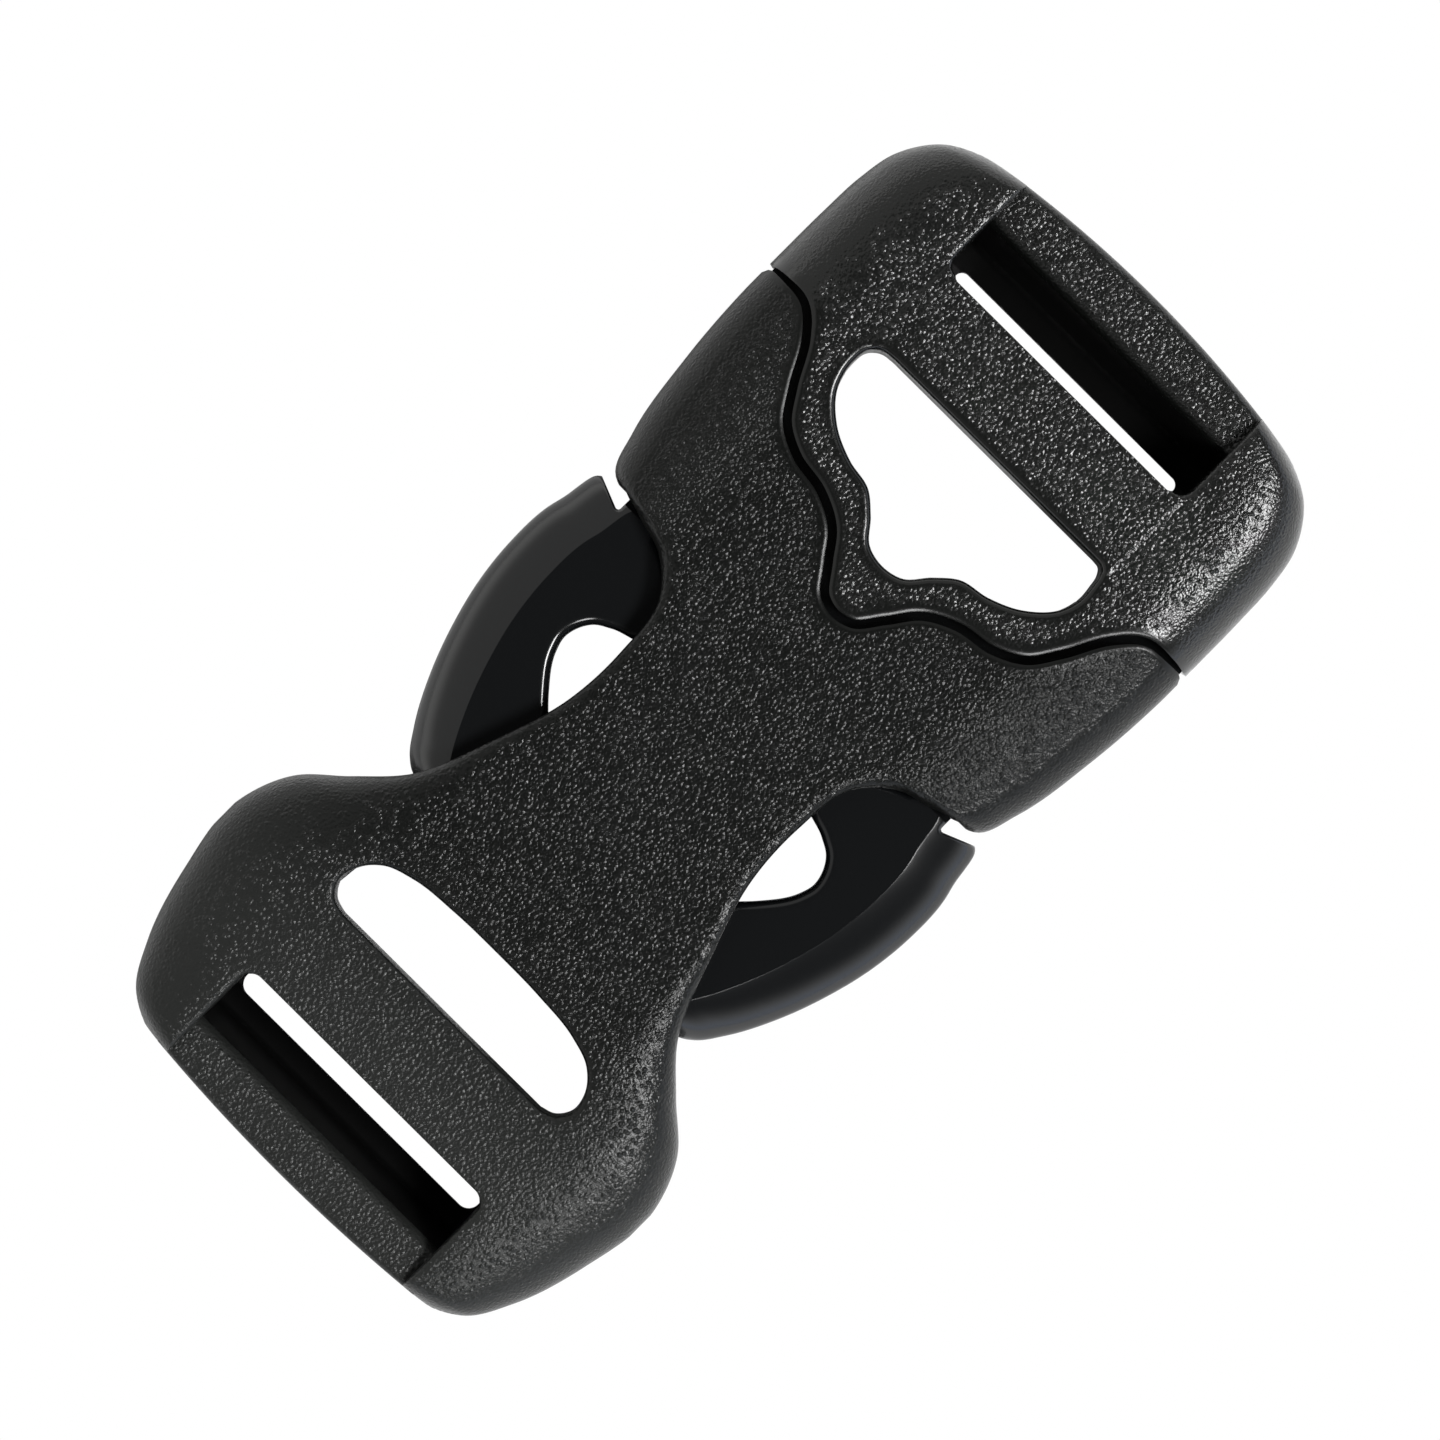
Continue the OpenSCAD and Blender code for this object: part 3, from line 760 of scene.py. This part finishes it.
def make_plug():
    """Plug: the shell, less the seam and all before it, the bowed end, the notch and the window,
    with the end bar, the spigot behind the seam, the guide and both prongs put in."""
    x = even(plug_curve[:, :2], BODY_STEP)[:, 0]
    body = body_loft("plug", x, plug_at)
    before = np.array([[X_START, HALF_W + PAST], [X_START, -HALF_W - PAST]])
    loop = np.vstack([seam_side(seam_gap, PLUG_CORNER), before])
    cut(body, cutter("seam", loop, seam_lip_width(loop), plug_top, SEAM_STEEPEST))
    cut(body, cutter("end", end_region(X_END, -1, PLUG_BOW_R), END_R, plug_top))
    loop = notch(X_END + PAST, X_PLUG_CROSS, PLUG_NOTCH_R)
    cut(body, cutter("notch", loop, pocket_radius(loop), plug_top))
    cut(body, cutter("window", window_loop, SLOT_R, plug_top))
    under = box_across(X_WINDOW_END - PAST, X_PLUG_CROSS + JUST_PAST, WEB_HALF)
    cut(body, slab("under", under, -PAST, CROSS_UNDER))
    join(body, end_bar(
        "bar", X_END, -1, PLUG_BAR, PLUG_SLOPE, X_PLUG_CROSS, PLUG_BOW_R, PLUG_BAR_R,
    ))
    cut(body, slit("slit", X_END - PLUG_BAR - PLUG_SLOPE, X_PLUG_CROSS, PLUG_SLIT_SHORT))
    guide = box_across(X_PRONG + GUIDE_SHORT, X_WINDOW - FRONT_BAND / 2, GUIDE_HALF)
    root = seam_side(SEAM_GAP, 0) + [SPIGOT_REACH / 2, 0]
    join(body, seam_strip("spigot", seam_side(0, 0) - [SPIGOT_REACH, 0], root, HALF_W - SPIGOT_INSET))
    join(body, seam_strip("shelf", seam_side(seam_lip + END_GAP / 2, 0), root, HALF_W - SHELF_INSET))
    join(body, slab("guide", guide, MID_Z - ARM_HIGH, MID_Z + ARM_HIGH))
    join(body, make_prong(1), make_prong(-1))
    return body


plug = make_plug()
report(plug)


# Materials

def linear(hex_colour):
    """Linear colour of an sRGB hex value."""
    parts = [int(hex_colour[i:i + 2], 16) / 255 for i in (1, 3, 5)]
    return [c / 12.92 if c <= 0.04045 else ((c + 0.055) / 1.055) ** 2.4 for c in parts] + [1.0]


def add_node(tree, kind, inputs=None, **settings):
    """Adds a node with its settings, and gives each of its inputs, by number or name, a value or a
    link from another node's output. Returns the node's outputs."""
    node = tree.nodes.new(kind)
    for key, value in settings.items():
        setattr(node, key, value)
    for key, value in (inputs or {}).items():
        if isinstance(value, bpy.types.NodeSocket):
            tree.links.new(value, node.inputs[key])
        else:
            node.inputs[key].default_value = value
    return node.outputs


def empty_tree(owner):
    """Node tree of a material or of the world, with nothing in it yet."""
    owner.use_nodes = True
    owner.node_tree.nodes.clear()
    return owner.node_tree


def mask(tree, *ramps, times=None):
    """Product of smooth ramps, and of times where it is given. Each ramp is (value, start, end, low,
    high): it goes from low to high while the value goes from start to end, level at both."""
    result = times
    for ramp in ramps:
        share = add_node(
            tree, "ShaderNodeMapRange", dict(enumerate(ramp)), interpolation_type="SMOOTHSTEP",
        )[0]
        if result is None:
            result = share
        else:
            result = add_node(tree, "ShaderNodeMath", {0: result, 1: share}, operation="MULTIPLY")[0]
    return result


# Black acetal: its colour and its refractive index
BLACK = "#080908"
ACETAL_IOR = 1.48

# The spark-eroded grain: domes by their spacing, their reach as a share of it and their height, the
# grit between them by its size, its height and the share left of it on steep faces, the patches by
# their size, the range of the noise they are made from and the domes' share in the faintest and the
# strongest, and the share of all grain that is left at the polished rims of the seam and the window
DOME_MM = 0.25
DOME_WIDE = 0.6
DOME_DEEP_MM = 0.05
GRIT_MM = 0.14
GRIT_DEEP_MM = 0.042
GRIT_LEFT = 0.8
PATCH_MM = 1.6
PATCH_NOISE = (0.35, 0.65)
PATCH_LOW, PATCH_HIGH = 0.5, 1.3
RIM_LEFT = 0.05

# The rails' coarser grit: the grain's share from which it sets in, and at which it is whole
RAIL_GRAIN = (0.4, 0.9)


def spark_eroded_acetal(
    name, along_x, roughness, pale_end, specular, rails_x, rails_y, rails_roughness, rails_grit, step_x=None,
):
    """Black acetal moulded against a spark-eroded steel surface: every spark's pit in the steel
    leaves a low dome about a quarter of a millimetre across, which glints by itself, and finer grit
    between. A dome's height falls smoothly from its middle to nothing, in stronger and fainter
    patches, and a smooth noise is added for the grit. Both follow the surface's attributes: "grain"
    is the share of the domes, and "rim" takes nearly all relief away beside the cut edges.

    All places are in millimetres. Between the two along_x, the roughness goes from its first value
    to its second, and the colour from faded to black. On the side rails, which set in between the
    two rails_x and the two rails_y, it is rails_roughness, and the grit is rails_grit times as high.
    Where step_x is given, the cross bar between these places stands a small step above the rails.
    """
    material = bpy.data.materials.new(name)
    tree = empty_tree(material)
    metres = add_node(tree, "ShaderNodeTexCoord")["Object"]
    place = add_node(tree, "ShaderNodeVectorMath", {0: metres, "Scale": 1 / MM}, operation="SCALE")[0]
    parts = add_node(tree, "ShaderNodeSeparateXYZ", {0: place})
    along = parts["X"]
    aside = add_node(tree, "ShaderNodeMath", {0: parts["Y"]}, operation="ABSOLUTE")[0]
    grain = add_node(tree, "ShaderNodeAttribute", attribute_name="grain")["Fac"]
    rim = add_node(tree, "ShaderNodeAttribute", attribute_name="rim")["Fac"]
    dome_away = add_node(tree, "ShaderNodeTexVoronoi", {
        "Vector": place, "Scale": 1 / DOME_MM, "Randomness": 1.0,
    })["Distance"]
    patch = add_node(tree, "ShaderNodeTexNoise", {
        "Vector": place, "Scale": 1 / PATCH_MM, "Detail": 3.0, "Roughness": 0.6,
    })["Fac"]
    grit = add_node(tree, "ShaderNodeTexNoise", {
        "Vector": place, "Scale": 1 / GRIT_MM, "Detail": 1.0, "Roughness": 0.5,
    })["Fac"]
    on_rails = mask(tree, (along, *rails_x, 0.0, 1.0), (aside, *rails_y, 0.0, 1.0))
    coarse = mask(tree, (grain, *RAIL_GRAIN, 0.0, 1.0), times=on_rails)
    domes = mask(
        tree, (dome_away, 0.0, DOME_WIDE, DOME_DEEP_MM, 0.0),
        (patch, *PATCH_NOISE, PATCH_LOW, PATCH_HIGH), times=grain,
    )
    grit = mask(
        tree, (grain, 0.0, 1.0, GRIT_LEFT * GRIT_DEEP_MM, GRIT_DEEP_MM),
        (coarse, 0.0, 1.0, 1.0, rails_grit), times=grit,
    )
    step = 0.0
    if step_x:
        half = CROSS_STEP_W / 2
        step = mask(
            tree, (along, step_x[0] - CROSS_STEP_W, step_x[0], 0.0, 1.0),
            (along, step_x[1], step_x[1] + CROSS_STEP_W, 1.0, 0.0),
            (aside, WEB_HALF - half, WEB_HALF + half, CROSS_STEP, 0.0),
        )
    relief = add_node(tree, "ShaderNodeMath", {0: domes, 1: grit}, operation="ADD")[0]
    relief = add_node(tree, "ShaderNodeMath", {0: relief, 1: rim, 2: step}, operation="MULTIPLY_ADD")[0]
    bump = add_node(tree, "ShaderNodeBump", {"Height": relief, "Distance": MM, "Strength": 1.0})[0]
    roughness = mask(tree, (along, *along_x, *roughness))
    roughness = add_node(
        tree, "ShaderNodeMix", {0: on_rails, 2: roughness, 3: rails_roughness}, data_type="FLOAT",
    )[0]
    colour = linear(BLACK)
    if pale_end:
        black = mask(tree, (along, *along_x, 0.0, 1.0))
        colour = add_node(
            tree, "ShaderNodeMix", {0: black, 6: linear(pale_end), 7: colour}, data_type="RGBA",
        )[2]
    shader = add_node(tree, "ShaderNodeBsdfPrincipled", {
        "Base Color": colour, "Roughness": roughness, "IOR": ACETAL_IOR, "Specular IOR Level": specular,
        "Normal": bump,
    })
    add_node(tree, "ShaderNodeOutputMaterial", {"Surface": shader[0]})
    return material


def smooth_acetal(name, colour, roughness, specular):
    """Smooth black acetal without grain. Polished, it mirrors the lamps and the floor clearly. Its
    darker, less glossy copy is painted shade, laid on the slopes beside the end bars where shade falls."""
    material = bpy.data.materials.new(name)
    tree = empty_tree(material)
    shader = add_node(tree, "ShaderNodeBsdfPrincipled", {
        "Base Color": linear(colour), "Roughness": roughness, "IOR": ACETAL_IOR,
        "Specular IOR Level": specular,
    })
    add_node(tree, "ShaderNodeOutputMaterial", {"Surface": shader[0]})
    return material


# The socket's strap end is paler and more matt than the rest, with coarse rails at its mouth
SOCKET_GRAINED = spark_eroded_acetal(
    "socket_acetal_spark_eroded", along_x=(X_START + 6, X_WAIST), roughness=(0.34, 0.27),
    pale_end="#1c1d1c", specular=0.26, rails_x=(X_MOUTH - 7, X_MOUTH - 2), rails_y=(7, 10),
    rails_roughness=0.32, rails_grit=2.4,
)
PLUG_GRAINED = spark_eroded_acetal(
    "plug_acetal_spark_eroded", along_x=(X_SEAM_MID, X_END), roughness=(0.25, 0.25),
    pale_end=None, specular=0.5, rails_x=(X_START, X_SEAM_MID), rails_y=(10.2, 11.2),
    rails_roughness=0.24, rails_grit=1.0, step_x=(X_WINDOW_END, X_PLUG_CROSS),
)
POLISHED = smooth_acetal("black_acetal_polished", "#0c0d0e", 0.17, 0.5)
# Painted shade: a darker, less glossy copy of the smooth acetal for the slopes beside the end bars,
# standing in for the shade that falls there
SLOPE_PAINTED_SHADE = smooth_acetal("black_acetal_painted_shade", "#040404", 0.45, 0.25)

# Edges that turn more than this between two faces stay sharp
CREASE = math.radians(35)

# Where a face belongs to the slope beside an end bar, which takes the painted shade: away from the rails
# and below the bar's top
SLOPE_ASIDE = 0.02
SLOPE_BELOW = 0.5


def read(items, key):
    """Rows of three numbers that a mesh keeps for its points or faces."""
    values = np.empty(len(items) * 3)
    items.foreach_get(key, values)
    return values.reshape(-1, 3)


def finish_surface(obj, grained, slope_x, polished_left_of, least, whole, rims, clear):
    """Materials of the faces, the grain's two shares at the points, and smooth shading up to a crease.
    The slope beside an end bar, between the two slope_x, gets the painted shade, and the polished
    faces lie between the plates' heights left of a place along X. The attribute "grain" grows
    smoothly from least on upright faces to 1, while the share that a face's direction points up
    goes from the first of whole to the second. "rim" grows smoothly from RIM_LEFT to 1 while the
    distance from the plan points rims goes from the first of clear, in millimetres, to the second."""
    mesh = obj.data
    x, y, z = read(mesh.polygons, "center").T / MM
    slope = (np.abs(y) < WEB_HALF - SLOPE_ASIDE) & (z < BAR_TOP - SLOPE_BELOW)
    slope &= (x > slope_x[0]) & (x < slope_x[1])
    polished = (np.abs(z - MID_Z) < MID_Z - PLATE_T) & (x < polished_left_of)
    mesh.materials.clear()
    for material in (grained, POLISHED, SLOPE_PAINTED_SHADE):
        mesh.materials.append(material)
    # Faces of the slope beside an end bar take index 2, the painted shade
    mesh.polygons.foreach_set("material_index", np.where(slope, 2, polished).astype(np.int32))
    up = np.abs(read(mesh.vertices, "normal")[:, 2])
    grain = least + (1 - least) * smoothstep(up, *whole)
    place = read(mesh.vertices, "co")[:, :2] / MM
    away = np.sqrt(np.min(
        (place[:, None, 0] - rims[None, :, 0]) ** 2 + (place[:, None, 1] - rims[None, :, 1]) ** 2, axis=1,
    ))
    rim = RIM_LEFT + (1 - RIM_LEFT) * smoothstep(away, *clear)
    for name, values in (("grain", grain), ("rim", rim)):
        mesh.attributes.new(name, "FLOAT", "POINT").data.foreach_set("value", values.astype(np.float32))
    mesh.shade_smooth()
    mesh.set_sharp_from_angle(angle=CREASE)


socket_rims = even(seam_side(seam_lip, 0)[1:-1], RIM_STEP)
plug_rims = even(seam_side(seam_gap, 0)[1:-1], RIM_STEP)
plug_rims = np.vstack([plug_rims, even(window_loop, RIM_STEP, closed=True)])
finish_surface(
    socket, SOCKET_GRAINED, slope_x=(X_START + SOCKET_BAR, X_SOCKET_CROSS), polished_left_of=-math.inf,
    least=0.3, whole=(0.75, 0.96), rims=socket_rims, clear=(0.18, 0.45),
)
finish_surface(
    plug, PLUG_GRAINED, slope_x=(X_PLUG_CROSS, X_END - PLUG_BAR), polished_left_of=X_FRAME,
    least=0.15, whole=(0.91, 0.98), rims=plug_rims, clear=(0.2, 0.8),
)

for piece, node, slot in (
    (socket, "female_socket", "socket_moulding"),
    (plug, "male_plug", "plug_moulding"),
):
    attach(piece, "root")
    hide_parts(node)


# Floor, light and camera

FLOOR_HALF = 6.0
FLOOR_Z = -0.02 * MM

# Room around the buckle. A direction's height above the horizon is 1 straight up, and its side is 1
# opposite the lamps: strengths, heights between which the wall and the strip fade upwards, sides
# between which the wall sets in, and side and height up to which the light is bluish
SKY_TINT = "#fcfcfa"
SKY_TINT_LAMPS = "#e0ebff"
SKY_TOP = 0.03
SKY_WALL = 0.6
SKY_WALL_FADES = (0.86, 0.97)
SKY_WALL_SIDE = (-0.15, 0.25)
SKY_STRIP = 1.7
SKY_STRIP_FADES = (0.10, 0.45)
SKY_TINT_SIDE = (-0.35, 0.15)
SKY_TINT_FADES = (0.05, 0.3)

# Lamps, ovals that face the buckle: angle from straight overhead, distance and height in metres, and
# for each its name, its direction in the plan, its width in metres and its brightness
LAMP_OFF_ZENITH = math.radians(37)
LAMP_FAR = 0.5
LAMP_HIGH = 0.14
LAMPS = (("right_lamp", math.radians(-64), 0.24, 37.0), ("left_lamp", math.radians(-126), 0.14, 18.5))


def make_floor():
    """White paper floor. It is overexposed to the camera, as in a product photograph, and what the
    buckle mirrors of it is the paper as the lights and the buckle's own shade leave it."""
    mesh = bpy.data.meshes.new("floor")
    corners = [(-1, -1), (1, -1), (1, 1), (-1, 1)]
    mesh.from_pydata([(x * FLOOR_HALF, y * FLOOR_HALF, FLOOR_Z) for x, y in corners], [], [(0, 1, 2, 3)])
    floor = bpy.data.objects.new("floor", mesh)
    bpy.context.scene.collection.objects.link(floor)
    material = bpy.data.materials.new("white_paper")
    tree = empty_tree(material)
    paper = add_node(tree, "ShaderNodeBsdfDiffuse", {"Color": linear("#ebebeb")})[0]
    white = add_node(tree, "ShaderNodeEmission", {"Color": (1, 1, 1, 1), "Strength": 1.0})[0]
    seen = add_node(tree, "ShaderNodeLightPath")["Is Camera Ray"]
    both = add_node(tree, "ShaderNodeMixShader", {0: seen, 1: paper, 2: white})[0]
    add_node(tree, "ShaderNodeOutputMaterial", {"Surface": both})
    mesh.materials.append(material)


def make_sky():
    """Room as a polished surface mirrors it: dark overhead, an even pale wall on the side opposite
    the lamps, and a paler strip low down all round, which is bluish on the lamps' side. The strength
    is the larger of wall and strip, and a little for the dark."""
    world = bpy.data.worlds.new("studio")
    tree = empty_tree(world)
    way = add_node(tree, "ShaderNodeTexCoord")["Generated"]
    parts = add_node(tree, "ShaderNodeSeparateXYZ", {0: way})
    high, side = parts["Z"], parts["Y"]
    wall = mask(tree, (high, *SKY_WALL_FADES, 1.0, 0.0), (side, *SKY_WALL_SIDE, 0.0, SKY_WALL))
    strip = mask(tree, (high, *SKY_STRIP_FADES, SKY_STRIP, 0.0))
    light = add_node(tree, "ShaderNodeMath", {0: wall, 1: strip}, operation="MAXIMUM")[0]
    light = add_node(tree, "ShaderNodeMath", {0: light, 1: SKY_TOP}, operation="ADD")[0]
    bluish = mask(tree, (side, *SKY_TINT_SIDE, 1.0, 0.0), (high, *SKY_TINT_FADES, 1.0, 0.0))
    tint = add_node(
        tree, "ShaderNodeMix", {0: bluish, 6: linear(SKY_TINT), 7: linear(SKY_TINT_LAMPS)},
        data_type="RGBA",
    )[2]
    sky = add_node(tree, "ShaderNodeBackground", {"Strength": light, "Color": tint})[0]
    add_node(tree, "ShaderNodeOutputWorld", {"Surface": sky})
    bpy.context.scene.world = world


def add_light(name, place, wide, high, brightness):
    """Oval lamp at a place in metres, facing the buckle. brightness is what a mirror would show of
    it, with white paper as 1: power is that times pi times the lamp's area."""
    data = bpy.data.lights.new(name, "AREA")
    data.shape = "ELLIPSE"
    data.size = wide
    data.size_y = high
    data.energy = brightness * math.pi * math.pi * wide * high / 4
    lamp = bpy.data.objects.new(name, data)
    bpy.context.scene.collection.objects.link(lamp)
    lamp.location = place
    lamp.rotation_euler = (-Vector(place)).to_track_quat("-Z", "Y").to_euler()


bpy.context.scene.view_settings.view_transform = "Standard"
make_floor()
make_sky()
sideways, upwards = LAMP_FAR * math.sin(LAMP_OFF_ZENITH), LAMP_FAR * math.cos(LAMP_OFF_ZENITH)
for name, azimuth, wide, brightness in LAMPS:
    place = (sideways * math.cos(azimuth), sideways * math.sin(azimuth), upwards)
    add_light(name, place, wide, LAMP_HIGH, brightness)

# The photograph: millimetres per pixel at mid height, pixels across, the buckle's turn in it, and
# the pixels from the buckle's origin to the middle of the picture, to the right and up
PIXEL_MM = 0.0485
PICTURE_PX = 1440
TURN = math.radians(45.2)
AIM_PX = (4.24, 14.14)
CAMERA_HIGH = 600.0

camera_data = bpy.data.cameras.new("camera")
camera = bpy.data.objects.new("camera", camera_data)
bpy.context.scene.collection.objects.link(camera)
bpy.context.scene.camera = camera
camera.rotation_euler = (0, 0, -TURN)
right = np.array([math.cos(TURN), -math.sin(TURN)])
up = np.array([math.sin(TURN), math.cos(TURN)])
aim = (right * AIM_PX[0] + up * AIM_PX[1]) * PIXEL_MM
camera.location = (aim[0] * MM, aim[1] * MM, (MID_Z + CAMERA_HIGH) * MM)
camera_data.sensor_fit = "HORIZONTAL"
camera_data.angle = 2 * math.atan(PICTURE_PX * PIXEL_MM / 2 / CAMERA_HIGH)
camera_data.clip_start = 0.01
